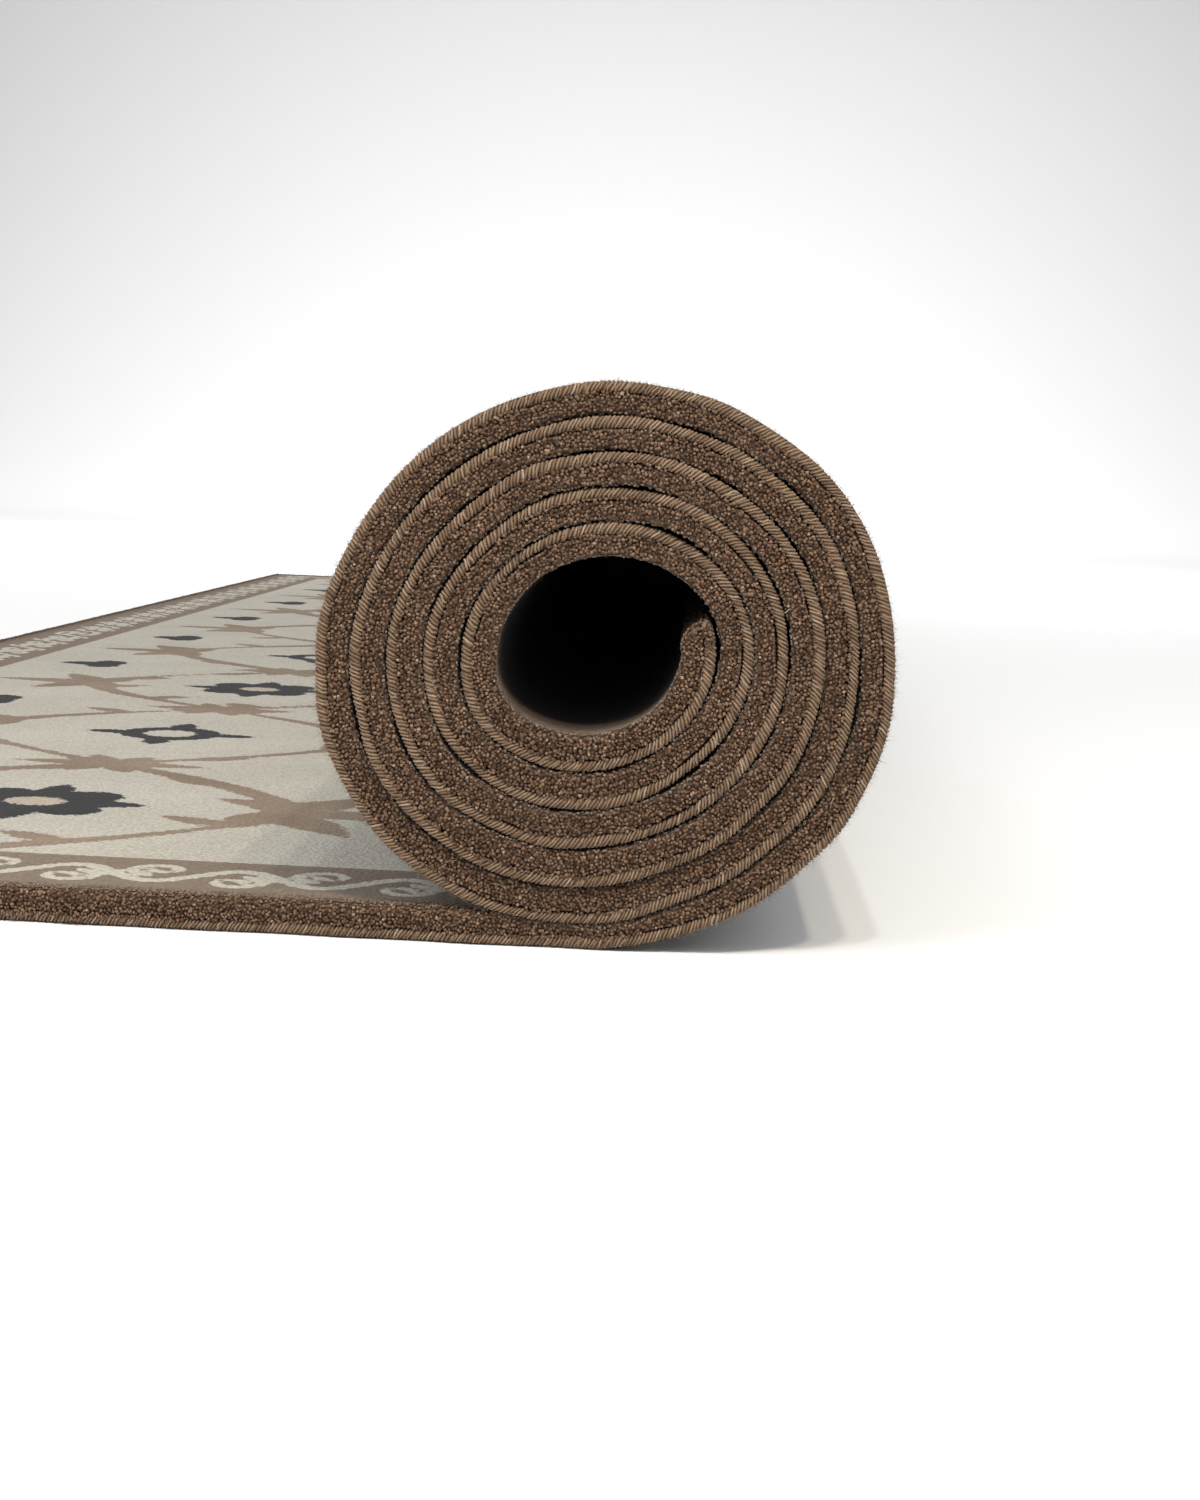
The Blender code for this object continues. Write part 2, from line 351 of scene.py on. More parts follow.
def sweep_finish():
    """White paint, and painted light: the wall glows by 1.07 / (1 + (distance from its middle / 7.85)^2)^2 -
    0.68.
    """
    material, shader, spot = finish("white_paint_and_painted_glow", roughness=0.9)
    x, y, z = (spot.node("SeparateXYZ", {}, {0: spot}, k) for k in range(3))
    aside, over = (x - WALL_MIDDLE_X) / WALL_AWAY, (z - WALL_MIDDLE_Z) / WALL_AWAY
    spread = 1 + aside * aside + over * over
    # Painted light: from 3.6 m on, the sweep glows, most at the wall's middle.
    glow = (WALL_GLOW / (spread * spread) - WALL_DARKER) * y.step(GLOW_FROM_Y, GLOW_FULL_Y)
    glow_colour = glow.blend((0.0, 0.0, 0.0, 1.0), (1.0, 1.0, 0.99, 1.0))
    glow_colour.tree.links.new(glow_colour.socket, shader.inputs["Emission Color"])
    shader.inputs["Emission Strength"].default_value = 1.0
    paint(shader, spot.noise(1.5).blend((0.795, 0.798, 0.795, 1.0), (0.805, 0.806, 0.802, 1.0)))
    return material


sweep = white_sweep()
paint_and_painted_glow = sweep_finish()
sweep.data.materials.append(paint_and_painted_glow)

LAMPS = (
    # name, x from the axis, y from the near end, z, width, colour, watts, x and y that it faces
    ("lamp_right", 0.50, -0.83, 1.6, 0.06, (1.0, 0.89, 0.72), 9.5, (0.0, 0.0)),
    ("lamp_middle", 0.25, -0.83, 1.6, 0.05, (1.0, 0.90, 0.74), 8.0, (0.0, 0.0)),
    ("lamp_left", 0.05, -0.83, 1.6, 0.05, (0.92, 0.96, 1.0), 6.5, (0.0, 0.0)),
    ("soft_light_left", -1.15, -0.85, 1.25, 1.2, (0.93, 0.96, 1.0), 23.0, (0.0, 0.0)),
    ("soft_light_right", 1.05, -0.60, 1.35, 1.0, (0.95, 0.98, 1.0), 4.5, (0.0, 0.0)),
    ("back_light", -0.2, 4.0, 2.6, 3.4, (1.0, 1.0, 1.0), 88.0, (-0.2, 4.0)),
)
ROOM_COLOUR, ROOM_STRENGTH = (0.985, 0.99, 1.0, 1.0), 0.62


def area_lamp(name, where, faced, width, colour, watts):
    """A square lamp that faces a point."""
    light = bpy.data.lights.new(name, "AREA")
    light.size = width
    light.energy = watts
    light.color = colour
    lamp = bpy.data.objects.new(name, light)
    bpy.context.scene.collection.objects.link(lamp)
    away = Vector(where) - Vector(faced)
    lamp.matrix_world = Matrix.Translation(where) @ away.to_track_quat("Z", "Y").to_matrix().to_4x4()


for name, x, y, z, width, colour, watts, (faced_x, faced_y) in LAMPS:
    faced = (AXIS_X + faced_x, NEAR_Y + faced_y, AXIS_HEIGHT)
    area_lamp(name, (AXIS_X + x, NEAR_Y + y, z), faced, width, colour, watts)

world = bpy.data.worlds.new("white_room")
world.use_nodes = True
world.node_tree.nodes["Background"].inputs["Color"].default_value = ROOM_COLOUR
world.node_tree.nodes["Background"].inputs["Strength"].default_value = ROOM_STRENGTH
bpy.context.scene.world = world
bpy.context.scene.view_settings.view_transform = "Standard"


# The pile is cut wool about 8 mm high, tufted through a primary cloth. Here it is a smooth body
# that the tufts of the edges stand on: a closed sheet for the wound part, and a finer one for the
# loose end, which shows the pattern and starts under the roll.

EDGE_FOOT = 5.2 * MM
EDGE_INSET = 0.9 * MM
TOP_INSET = 0.2 * MM
CORE_END_ROUNDING = 9 * MM
LOOSE_END_ROUNDING = 3 * MM
UNDERCUT = 5.2 * MM
PILE_FLOOR = 1.5 * MM
SEAM_REACH = FLAT_FROM + 22 * MM
CORE_REACH = 0.30
CORE_SHADE_FROM, CORE_SHADE_OVER = 5 * MM, 42 * MM
HAIRLINE = 0.01 * MM


def rounding_at(reach):
    """Radius of the pile's edge: 0.6 mm between the turns, and 3.4 mm on the loose end."""
    return 0.6 * MM + 2.8 * MM * smooth_step((reach - FLAT_FROM - 10 * MM) / (50 * MM))


def rounded_drop(distance, radius):
    """How far a rounded edge lies under the top, d from the side: r - sqrt(r^2 - (r - d)^2)."""
    left = np.clip(radius - distance, 0.0, radius)
    return radius - np.sqrt(np.maximum(radius**2 - left**2, 0.0))


def keep(obj, name, values):
    """Stores one number for each point of a piece, under a name that its material reads."""
    field = obj.data.attributes.new(name, "FLOAT", "POINT")
    field.data.foreach_set("value", np.asarray(values, dtype=np.float32).ravel())


def keep_flat_uv(obj, u, v):
    """Gives a piece a UV map in metres of flat carpet: u from the loose end, v from the near side."""
    layer = obj.data.uv_layers.new(name="flat_carpet")
    corner = np.zeros(len(obj.data.loops), dtype=np.int32)
    obj.data.loops.foreach_get("vertex_index", corner)
    layer.data.foreach_set("uv", np.column_stack((u.ravel()[corner], v.ravel()[corner])).ravel())


def steps(*runs):
    """Stations in metres from runs of (from_mm, to_mm, step_mm)."""
    return np.concatenate([np.arange(start, stop, step) for start, stop, step in runs]) * MM


def pile_body(name, reach, half):
    """Closed sheet: at each reach, a ring over the pile and back under it, undercut for the bound edge.

    Its top lies under the pile's tips by the inset and by the drop of the nearest rounded edge.
    """
    across = np.concatenate((half, WIDTH - half[::-1]))
    under = np.array((EDGE_INSET, UNDERCUT, UNDERCUT))
    ring = np.concatenate((across, WIDTH - under, under[::-1]))
    start = reach[:, None]
    from_end = np.minimum(start, LENGTH - start)
    from_side = np.minimum(ring, WIDTH - ring)[None, :]
    radius = rounding_at(start)
    end_radius = np.where(start < LENGTH / 2, CORE_END_ROUNDING, LOOSE_END_ROUNDING)
    drop = np.maximum(
        rounded_drop(from_side - EDGE_INSET, radius), rounded_drop(from_end - EDGE_INSET, end_radius)
    )
    heights = np.maximum(thickness(reach)[:, None] - TOP_INSET - drop, EDGE_FOOT + 0.1 * MM)
    floor = np.where(from_end < UNDERCUT, EDGE_FOOT, PILE_FLOOR)
    lower = np.hstack((np.full_like(floor, EDGE_FOOT), np.full_like(floor, EDGE_FOOT), floor))
    heights = np.hstack((heights[:, : len(across)], lower, lower[:, ::-1]))
    shape = heights.shape
    starts, rings = np.broadcast_to(start, shape), np.broadcast_to(ring, shape)
    first, last = np.arange(shape[1]), np.arange(shape[1]) + (shape[0] - 1) * shape[1]
    faces = grid_faces(*shape, closed=True)
    obj = mesh_piece(name, place(starts, rings, heights), faces, (first[::-1], last))
    keep_flat_uv(obj, LENGTH - starts, rings)
    # Painted shade inside the core: in the first turn it grows from 5 mm in from the sides over 42 mm.
    core = smooth_step((CORE_REACH - starts) / 0.05)
    keep(obj, "painted_core_shade", core * smooth_step((from_side - CORE_SHADE_FROM) / CORE_SHADE_OVER))
    keep(obj, "from_edge", np.minimum(np.minimum(starts, LENGTH - starts), from_side) / MM)
    return obj, LENGTH - starts, rings


ROUND_EDGE = np.array((0.9, 1.0, 1.2, 1.5, 1.9, 2.5, 3.3, 4.3)) * MM
rolled_reach = np.concatenate(
    (
        ROUND_EDGE,
        [UNDERCUT - HAIRLINE],
        np.arange(UNDERCUT + HAIRLINE, 0.5, 6 * MM),
        np.arange(0.5, SEAM_REACH - 4 * MM, 10 * MM),
        [SEAM_REACH],
    )
)
rolled_half = np.concatenate(
    (ROUND_EDGE, steps((6, 26, 4), (26, 100, 12)), np.linspace(0.1, WIDTH / 2 - 0.02, 20))
)
rolled_pile, rolled_u, rolled_v = pile_body("rolled_pile", rolled_reach, rolled_half)

flat_reach = LENGTH - np.concatenate(
    (
        ROUND_EDGE,
        [UNDERCUT - HAIRLINE, UNDERCUT + HAIRLINE],
        steps((8, 80, 3.2), (80, (LENGTH - SEAM_REACH) / MM - 2, 5)),
        [LENGTH - SEAM_REACH],
    )
)[::-1]
flat_half = np.concatenate((ROUND_EDGE, steps((6, 80, 3.2), (80, 620, 5), (620, 1217, 10))))
flat_pile, flat_u, flat_v = pile_body("flat_pile", flat_reach, flat_half)


# The pattern of the loose end is tufted in wools of other colours: cream scrolls on taupe in the
# border, taupe vines and charcoal flowers on the beige field. It is a design of its own, drawn by
# formulas. A motif is a set of strokes, each a line of discs (u, v, radius) in mm of flat carpet.


def petal(angle_deg, start, length, width):
    """A pointed petal's stroke: straight out at an angle, widest at two fifths of its length."""
    angle = math.radians(angle_deg)
    shares = ((0.0, 0.35), (0.4, 1.0), (0.7, 0.72), (1.0, 0.1))
    return tuple(
        ((start + length * s) * math.sin(angle), (start + length * s) * math.cos(angle), width / 2 * w)
        for s, w in shares
    )


def fan(angles_deg, lengths, width):
    """Petals that spread from one foot."""
    return tuple(petal(angle, 0.0, length, width) for angle, length in zip(angles_deg, lengths))


QUARTERS = (0, 90, 180, 270)
LEAF = (petal(0, 0.0, 48, 19),)
SPROUT = fan((-62, 0, 62), (38, 56, 38), 17)
PALMETTE = fan((-104, -54, 0, 54, 104), (64, 90, 112, 90, 64), 32)
BLOSSOM = fan((-72, 0, 72), (30, 44, 30), 26)
RING_FLOWER = tuple(petal(angle, 24, 24, 15) for angle in QUARTERS) + (
    tuple((22 * math.cos(k * TURN / 8), 22 * math.sin(k * TURN / 8), 7) for k in range(9)),
)
CROSS_FLOWER = tuple(petal(angle, 12, 40, 18) for angle in QUARTERS) + tuple(
    ((0, 0, 12), (x, y, 15)) for x in (-20, 20) for y in (-20, 20)
)
FLOWER_HEART = (((-2, 0, 13), (2, 0, 13)),)

MIDDLE_V = WIDTH / MM / 2
VINE_MIDDLE, VINE_SWING, VINE_REPEAT, VINE_FROM = 300.0, 120.0, 572.0, 75.0
CELLS = VINE_FROM + VINE_REPEAT * np.array((0.25, 0.75, 1.25, 1.75))
CROSSINGS = VINE_FROM + VINE_REPEAT * np.array((0.5, 1.0, 1.5, 2.0))
LEAF_FROM, LEAF_STEP = 110.0, 62.0


def vine_u(v, side):
    """A wavy stem along the carpet: u = middle + side * swing * sin(turn * (v - from) / repeat)."""
    return VINE_MIDDLE + side * VINE_SWING * np.sin(TURN * (v - VINE_FROM) / VINE_REPEAT)


stem_v = np.arange(30.0, 1270.0, 15.0)
stem_radius = 6 + 2 * np.sin(stem_v / 37)
BRANCHES = [np.column_stack((vine_u(stem_v, side), stem_v, stem_radius)) for side in (-1, 1)]
VINE_MOTIFS = (
    # motif, u, v, size, turn_deg
    [(PALMETTE, VINE_MIDDLE + VINE_SWING, v, 0.85, -90) for v in CELLS]
    + [(PALMETTE, VINE_MIDDLE - VINE_SWING, v, 0.75, 90) for v in CELLS]
    + [(SPROUT, VINE_MIDDLE, v, 1.0, turn) for v in CROSSINGS for turn in (-90, 90)]
    + [(LEAF, vine_u(v, 1), v, 0.85, 60) for v in np.arange(LEAF_FROM, MIDDLE_V, LEAF_STEP)]
    + [(LEAF, vine_u(v, -1), v, 0.85, -60) for v in np.arange(LEAF_FROM + 31, MIDDLE_V, LEAF_STEP)]
)
DARK_MOTIFS = (
    [(CROSS_FLOWER, VINE_MIDDLE, v, 1.1, 0) for v in CELLS[::2]]
    + [(RING_FLOWER, VINE_MIDDLE, v, 1.1, 0) for v in CELLS[1::2]]
    + [(BLOSSOM, u, v, 1.0, turn) for v in CROSSINGS for u, turn in ((150, 90), (450, -90))]
)
HEARTS = [(FLOWER_HEART, VINE_MIDDLE, v, 1.0, 0) for v in CELLS[::2]]
BORDER_DEPTH = 76.0
SCROLL_REPEAT, SCROLL_MIDDLE, SCROLL_SWING, SCROLL_RADIUS = 70.0, 44.0, 14.0, 3.6
CURL_OFFSET = 10.0


def curl(along_border, across, way):
    """A curl of the border: a spiral that opens from 3 to 13 mm in one and a fifth turns."""
    t = np.linspace(0, 1, 13)
    radius, angle = 3 + 10 * t, 1.2 * TURN * t
    points = (along_border + way * radius * np.cos(angle), across + way * radius * np.sin(angle))
    return np.column_stack((*points, 2.0 + 1.4 * t))


wave_along = np.linspace(0, SCROLL_REPEAT, 15)
wave_across = SCROLL_MIDDLE + SCROLL_SWING * np.sin(TURN * wave_along / SCROLL_REPEAT)
SCROLLS = (
    np.column_stack((wave_along, wave_across, np.full_like(wave_along, SCROLL_RADIUS))),
    curl(SCROLL_REPEAT / 4, SCROLL_MIDDLE - CURL_OFFSET, 1),
    curl(SCROLL_REPEAT * 3 / 4, SCROLL_MIDDLE + CURL_OFFSET, -1),
)
DISC_SPACING = 1.5
WELL_OUTSIDE = 10.0


def line_of_discs(stroke):
    """Discs along the smooth curve through a stroke's points (a Catmull-Rom curve)."""
    knots = np.array(stroke, dtype=float)
    knots = np.vstack((2 * knots[0] - knots[1], knots, 2 * knots[-1] - knots[-2]))
    spans = np.linalg.norm(np.diff(knots[1:-1, :2], axis=0), axis=1)
    steps_in_span = np.maximum(2, np.ceil(spans / DISC_SPACING)).astype(int)
    span = np.repeat(np.arange(len(spans)), steps_in_span)
    share = np.concatenate([np.arange(n) / n for n in steps_in_span])[:, None]
    p0, p1, p2, p3 = (knots[span + k] for k in range(4))
    discs = p1 + 0.5 * share * (
        p2 - p0 + share * (2 * p0 - 5 * p1 + 4 * p2 - p3 + share * (3 * (p1 - p2) + p3 - p0))
    )
    return np.vstack((discs, knots[-2:-1]))


def placed(motif, u, v, size, turn_deg):
    """A motif's strokes, made larger by size, turned about its foot and moved to (u, v)."""
    turn = math.radians(turn_deg)
    turned = np.array(((math.cos(turn), math.sin(turn)), (-math.sin(turn), math.cos(turn))))
    moved = []
    for stroke in motif:
        points = np.array(stroke, dtype=float) * size
        points[:, :2] = points[:, :2] @ turned + (u, v)
        moved.append(points)
    return moved


def outside(points, strokes, reach=30.0):
    """Distance in mm from each point to the nearest stroke's edge, negative inside it, up to reach."""
    distance = np.full(len(points), reach)
    for stroke in strokes:
        discs = line_of_discs(stroke)
        low, high = (discs[:, :2].min(axis=0) - reach), (discs[:, :2].max(axis=0) + reach)
        near = np.flatnonzero(np.all((points > low) & (points < high), axis=1))
        apart = np.hypot(points[near, :1] - discs[:, 0], points[near, 1:] - discs[:, 1]) - discs[:, 2]
        distance[near] = np.minimum(distance[near], apart.min(axis=1))
    return distance


def all_strokes(motifs):
    """The strokes of every placed motif of a table."""
    return [stroke for motif in motifs for stroke in placed(*motif)]


half_way = np.column_stack((flat_u.ravel() / MM, MIDDLE_V - np.abs(flat_v.ravel() / MM - MIDDLE_V)))
keep(flat_pile, "vine", outside(half_way, BRANCHES + all_strokes(VINE_MOTIFS)))
keep(flat_pile, "flower", outside(half_way, all_strokes(DARK_MOTIFS)))
keep(flat_pile, "heart", outside(half_way, all_strokes(HEARTS)))
along_border = np.where(half_way[:, 1] < half_way[:, 0], half_way[:, 0], half_way[:, 1])
along_border = along_border % SCROLL_REPEAT
wrapped = [np.array(s, dtype=float) + (k * SCROLL_REPEAT, 0, 0) for s in SCROLLS for k in (-1, 0, 1)]
beside = np.column_stack((along_border, half_way.min(axis=1)))
keep(flat_pile, "scroll", outside(beside, wrapped, WELL_OUTSIDE))
for name in ("vine", "flower", "heart"):
    keep(rolled_pile, name, np.full(len(rolled_pile.data.vertices), WELL_OUTSIDE))
rolled_v = rolled_v.ravel() / MM
rolled_along = rolled_u.ravel() / MM % SCROLL_REPEAT
beside = np.column_stack((rolled_along, np.minimum(rolled_v, WIDTH / MM - rolled_v)))
keep(rolled_pile, "scroll", outside(beside, wrapped, WELL_OUTSIDE))

BROWN = (0.125, 0.080, 0.054, 1.0)
DARK_BROWN = (0.026, 0.013, 0.008, 1.0)
BEIGE = (0.410, 0.383, 0.325, 1.0)
LIGHT_BEIGE = (0.446, 0.417, 0.357, 1.0)
TAUPE = (0.25, 0.188, 0.137, 1.0)
DARK_TAUPE = (0.20, 0.145, 0.103, 1.0)
CHARCOAL = (0.018, 0.0175, 0.019, 1.0)
LIGHT_CHARCOAL = (0.034, 0.033, 0.035, 1.0)
GROUND_TAUPE = (0.185, 0.142, 0.105, 1.0)
CREAM = (0.45, 0.42, 0.355, 1.0)
ROSY_BEIGE = (0.395, 0.335, 0.27, 1.0)


def pile_finish():
    """Cut pile in its pattern's colours: each tuft takes the colour that its place has, and is a little
    lighter or darker than the next. The tufts are cells 1.9 mm apart with painted shade in the gaps,
    deeper near the edges, and painted shade turns the core's first turn dark brown.
    """
    material, shader, spot = finish("tufted_wool_pile", sheen=0.06)
    tufts = spot.cells(530.0)
    gaps = tufts.step(0.25, 0.75)
    ragged = (spot.noise(400.0) - 0.5) * 9.0
    clouds = spot.noise(14.0, 3.0)
    fine = spot.noise(900.0, 1.0)
    edge = kept(spot, "from_edge")
    field = clouds.step(0.3, 0.75).blend(BEIGE, LIGHT_BEIGE)
    wools = (
        ("vine", clouds.step(0.3, 0.7).blend(DARK_TAUPE, TAUPE)),
        ("flower", clouds.blend(CHARCOAL, LIGHT_CHARCOAL)),
        ("heart", ROSY_BEIGE),
    )
    for motif, wool in wools:
        field = (kept(spot, motif) + ragged).step(0.6, -0.6).blend(field, wool)
    border = (kept(spot, "scroll") + ragged * 0.4).step(0.5, -0.5).blend(GROUND_TAUPE, CREAM)
    line = edge.math("ABSOLUTE", edge + ragged * 0.3 - BORDER_DEPTH).step(2.4, 1.6)
    border = (edge + ragged * 0.6).step(13.0, 4.0).blend(border, BROWN)
    colour = (edge + ragged * 0.4).step(BORDER_DEPTH - 1.5, BORDER_DEPTH).blend(border, field)
    colour = line.blend(colour, DARK_TAUPE)
    # Painted shade inside the core: the pattern turns brown and darkens to nearly black.
    inside = kept(spot, "painted_core_shade")
    colour = inside.step(0.0, 0.4).blend(colour, BROWN)
    # Painted shade in the gaps between tufts, deeper near the edges.
    dark_gaps = gaps * (edge.step(18.0, 9.0) * -0.45 - 0.22) + 1.0
    shade = dark_gaps * (fine * 0.2 + 0.9) * (1 - inside * 0.93)
    black = (0.0, 0.0, 0.0, 1.0)
    colour = shade.math("MINIMUM", shade, 1.0).blend(black, colour)
    paint(shader, colour, (1 - gaps) + fine * 0.5, distance=0.8 * MM, strength=0.45)
    return material


wool_pile = pile_finish()
for obj in (rolled_pile, flat_pile):
    obj.data.materials.append(wool_pile)
    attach(obj, "root")
    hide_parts("tufted_pile")


# At the four edges the cut tufts show from the side: knobs of wool about 1.5 mm apart that splay
# outwards and down over the bound edge, dark red-brown between them. Each is a small closed bulb
# that stands on the pile's body, square to it.

TUFT_SINK = 0.3 * MM
PILE_FALL = 1.3 * MM


def edge_points(edge, along_it, inward, height):
    """Points by the carpet's edge: along it, inward from its outermost line, and up from the back."""
    along_it, inward, height = np.broadcast_arrays(along_it, inward, height)
    if edge == "near":
        return place(along_it, inward, height)
    if edge == "far":
        return place(along_it, WIDTH - inward, height)
    if edge == "inner":
        return place(inward, along_it, height)
    return place(LENGTH - inward, along_it, height)


def edge_foot(edge, along_it):
    """Height over the back where the pile's side starts: it wanders where the yarn presses it, and it
    is lower at both ends of the carpet, where the pile falls over the yarn.
    """
    wander = np.sin(410 * along_it + 2 * np.sin(97 * along_it)) + np.sin(173 * along_it + 1)
    wander = wander + 1.3 * np.sin(29 * along_it + 2 * np.sin(13 * along_it))
    if edge in ("near", "far"):
        fallen = 4.2 * smooth_step((along_it - FLAT_FROM - 60 * MM) / (300 * MM))
        fallen = fallen + 4.2 * smooth_step((15 * MM - along_it) / (9 * MM))
    else:
        fallen = 1.5
    return (4.8 + 0.42 * wander - fallen) * MM


def edge_section(edge, along_it, way):
    """A point of the pile's section, its outward direction, and how long the side is, to the top.

    The way goes from the foot up the side, outwards by PILE_FALL where the pile falls over the
    yarn, then round the edge's quarter circle, and level over the top.
    """
    if edge in ("near", "far"):
        reach, radius = along_it, rounding_at(along_it)
        from_end = np.minimum(along_it, LENGTH - along_it) - EDGE_INSET
        end_radius = np.where(along_it < LENGTH / 2, CORE_END_ROUNDING, LOOSE_END_ROUNDING)
        drop = rounded_drop(from_end, end_radius)
    else:
        reach, drop = np.full_like(along_it, 0.0 if edge == "inner" else LENGTH), 0.0
        radius = CORE_END_ROUNDING if edge == "inner" else LOOSE_END_ROUNDING
    foot = edge_foot(edge, along_it)
    straight = np.maximum(thickness(reach) - TOP_INSET - drop - radius - foot, 0.0)
    turn = np.clip((way - straight) / radius, 0, math.pi / 2)
    over = np.maximum(way - straight - radius * math.pi / 2, 0.0)
    height = foot + np.minimum(way, straight) + radius * np.sin(turn)
    inward = EDGE_INSET + radius * (1 - np.cos(turn)) + over
    inward = inward - PILE_FALL * smooth_step((EDGE_FOOT - height) / (2.2 * MM))
    return inward, height, -np.cos(turn), np.sin(turn), straight + radius * math.pi / 2


def unit(vectors):
    """The same directions with length 1."""
    return vectors / np.linalg.norm(vectors, axis=-1, keepdims=True)


def tuft_bulbs(name, edge, start, stop, apart, sides, shown_top, seed):
    """Bulbs on a jittered lattice along an edge: a narrow ring of points, a wide ring and a tip.

    shown_top(along) is how far the lattice goes on over the top of the pile.
    """
    chance = np.random.default_rng(seed)
    lines = np.arange(start, stop, apart)
    ways = np.arange(0.5 * MM, 22 * MM, apart * 0.95)
    along_it, way = (grid.ravel() for grid in np.meshgrid(lines, ways, indexing="ij"))
    odd = np.tile(np.arange(len(ways)) % 2, len(lines))
    along_it = along_it + apart * (0.5 * odd + chance.uniform(-0.36, 0.36, len(along_it)))
    way = np.maximum(way + apart * chance.uniform(-0.3, 0.3, len(way)), 0.2 * MM)
    side = edge_section(edge, along_it, way)[4]
    over = np.clip((way - side) / (8 * MM), 0, 1)
    full = side + shown_top(along_it) * chance.uniform(0.7, 1.05, len(way))
    rim = 0.45 * smooth_step((way - side + 1.8 * MM) / (1.4 * MM))
    along_it, way, over, rim = (values[way < full] for values in (along_it, way, over, rim))
    count = len(way)
    inward, height, out, up, _ = edge_section(edge, along_it, way)
    foot = edge_points(edge, along_it, inward, height)
    tiny = 0.05 * MM
    outwards = unit(edge_points(edge, along_it, inward + out * tiny, height + up * tiny) - foot)
    forwards = unit(edge_points(edge, along_it + tiny, inward, height) - foot)
    sideways = unit(np.cross(outwards, forwards))
    downwards = unit(edge_points(edge, along_it, inward, height - tiny) - foot)
    size = apart * chance.uniform(0.42, 0.62, (count, 1))
    tall = chance.uniform(1.0, 1.9, (count, 1)) * MM
    tall = np.where(chance.random((count, 1)) < 0.015, tall * 1.5, tall)
    tall = tall * np.where(up > 0.7, 1 - 0.7 * over, 1)[:, None]
    lean = chance.normal(0, 0.3 * MM, (count, 2))
    tip = foot + outwards * tall + forwards * lean[:, :1] + sideways * lean[:, 1:]
    tip = tip + downwards * 0.35 * tall
    turn = chance.uniform(0, TURN, (count, 1)) + np.arange(sides) * TURN / sides
    ring = forwards[:, None] * np.cos(turn)[..., None] + sideways[:, None] * np.sin(turn)[..., None]
    ring = ring * size[:, None] * chance.uniform(0.8, 1.2, (count, sides, 1))
    low = foot[:, None] - outwards[:, None] * TUFT_SINK + ring * 0.7
    high = foot[:, None] * 0.45 + tip[:, None] * 0.55 + ring
    points = np.concatenate((low, high, tip[:, None]), axis=1)
    points[..., 2] = np.maximum(points[..., 2], 0.05 * MM)
    first = np.arange(count)[:, None, None] * (2 * sides + 1)
    corner = np.arange(sides)
    after = (corner + 1) % sides
    flanks = np.stack((corner, after, sides + after, sides + corner), axis=-1) + first
    crowns = np.stack((sides + corner, sides + after, np.full(sides, 2 * sides)), axis=-1) + first
    caps = crowns.reshape(-1, 3).tolist() + (corner[::-1] + first[:, 0]).tolist()
    obj = mesh_piece(name, points, flanks.reshape(-1, 4), caps)
    # The tip number paints shade: 0 at a bulb's root, 1 at its tip.
    tips = np.tile((0.0,) * sides + (0.7,) * sides + (1.0,), (count, 1))
    # Painted shade inside the core: its tufts darken from 5 mm in from the sides over 12 mm.
    if edge == "inner":
        from_side = np.minimum(along_it, WIDTH - along_it) - CORE_SHADE_FROM
        tips = tips * (1 - 0.9 * smooth_step(from_side / (12 * MM)))[:, None]
    keep(obj, "tip", tips)
    keep(obj, "tint", np.repeat(chance.uniform(0, 1, count), 2 * sides + 1))
    keep(obj, "over", np.repeat(np.maximum(over, rim), 2 * sides + 1))
    return obj


def core_or_loose(reach):
    """The pile's top shows in the core's first turn and on the loose end, and is hidden between."""
    core = smooth_step((0.27 - reach) / 0.03)
    loose = smooth_step((reach - FLAT_FROM - 25 * MM) / (30 * MM))
    return (0.5 + core * 4.5 + loose * 9.5) * MM


def tuft_finish():
    """Brown wool: nearly black-red where the tufts stand in each other's shade, warm brown at their
    tips, each a little lighter or darker than the next, with fine fibres.
    """
    material, shader, spot = finish("brown_wool_tufts", sheen=0.06)
    tint = kept(spot, "tint")
    fibres = spot.noise(1500.0, 2.0)
    clumps = spot.noise(260.0, 1.0)
    colour = tint.blend((0.085, 0.045, 0.026, 1.0), (0.265, 0.160, 0.100, 1.0))
    colour = tint.step(0.965, 0.99).blend(colour, (0.34, 0.235, 0.16, 1.0))
    on_top = tint.blend((0.155, 0.115, 0.085, 1.0), (0.24, 0.185, 0.14, 1.0))
    colour = kept(spot, "over").step(0.0, 0.8).blend(colour, on_top)
    # Painted shade: the tip number blends DARK_BROWN in towards the roots.
    depth = kept(spot, "tip").step(0.1, 1.0) * (fibres * 0.5 + 0.75)
    depth = depth * (clumps.step(0.3, 0.6) * 0.4 + 0.65)
    paint(shader, depth.blend(DARK_BROWN, colour), fibres, distance=0.5 * MM, strength=0.8)
    return material


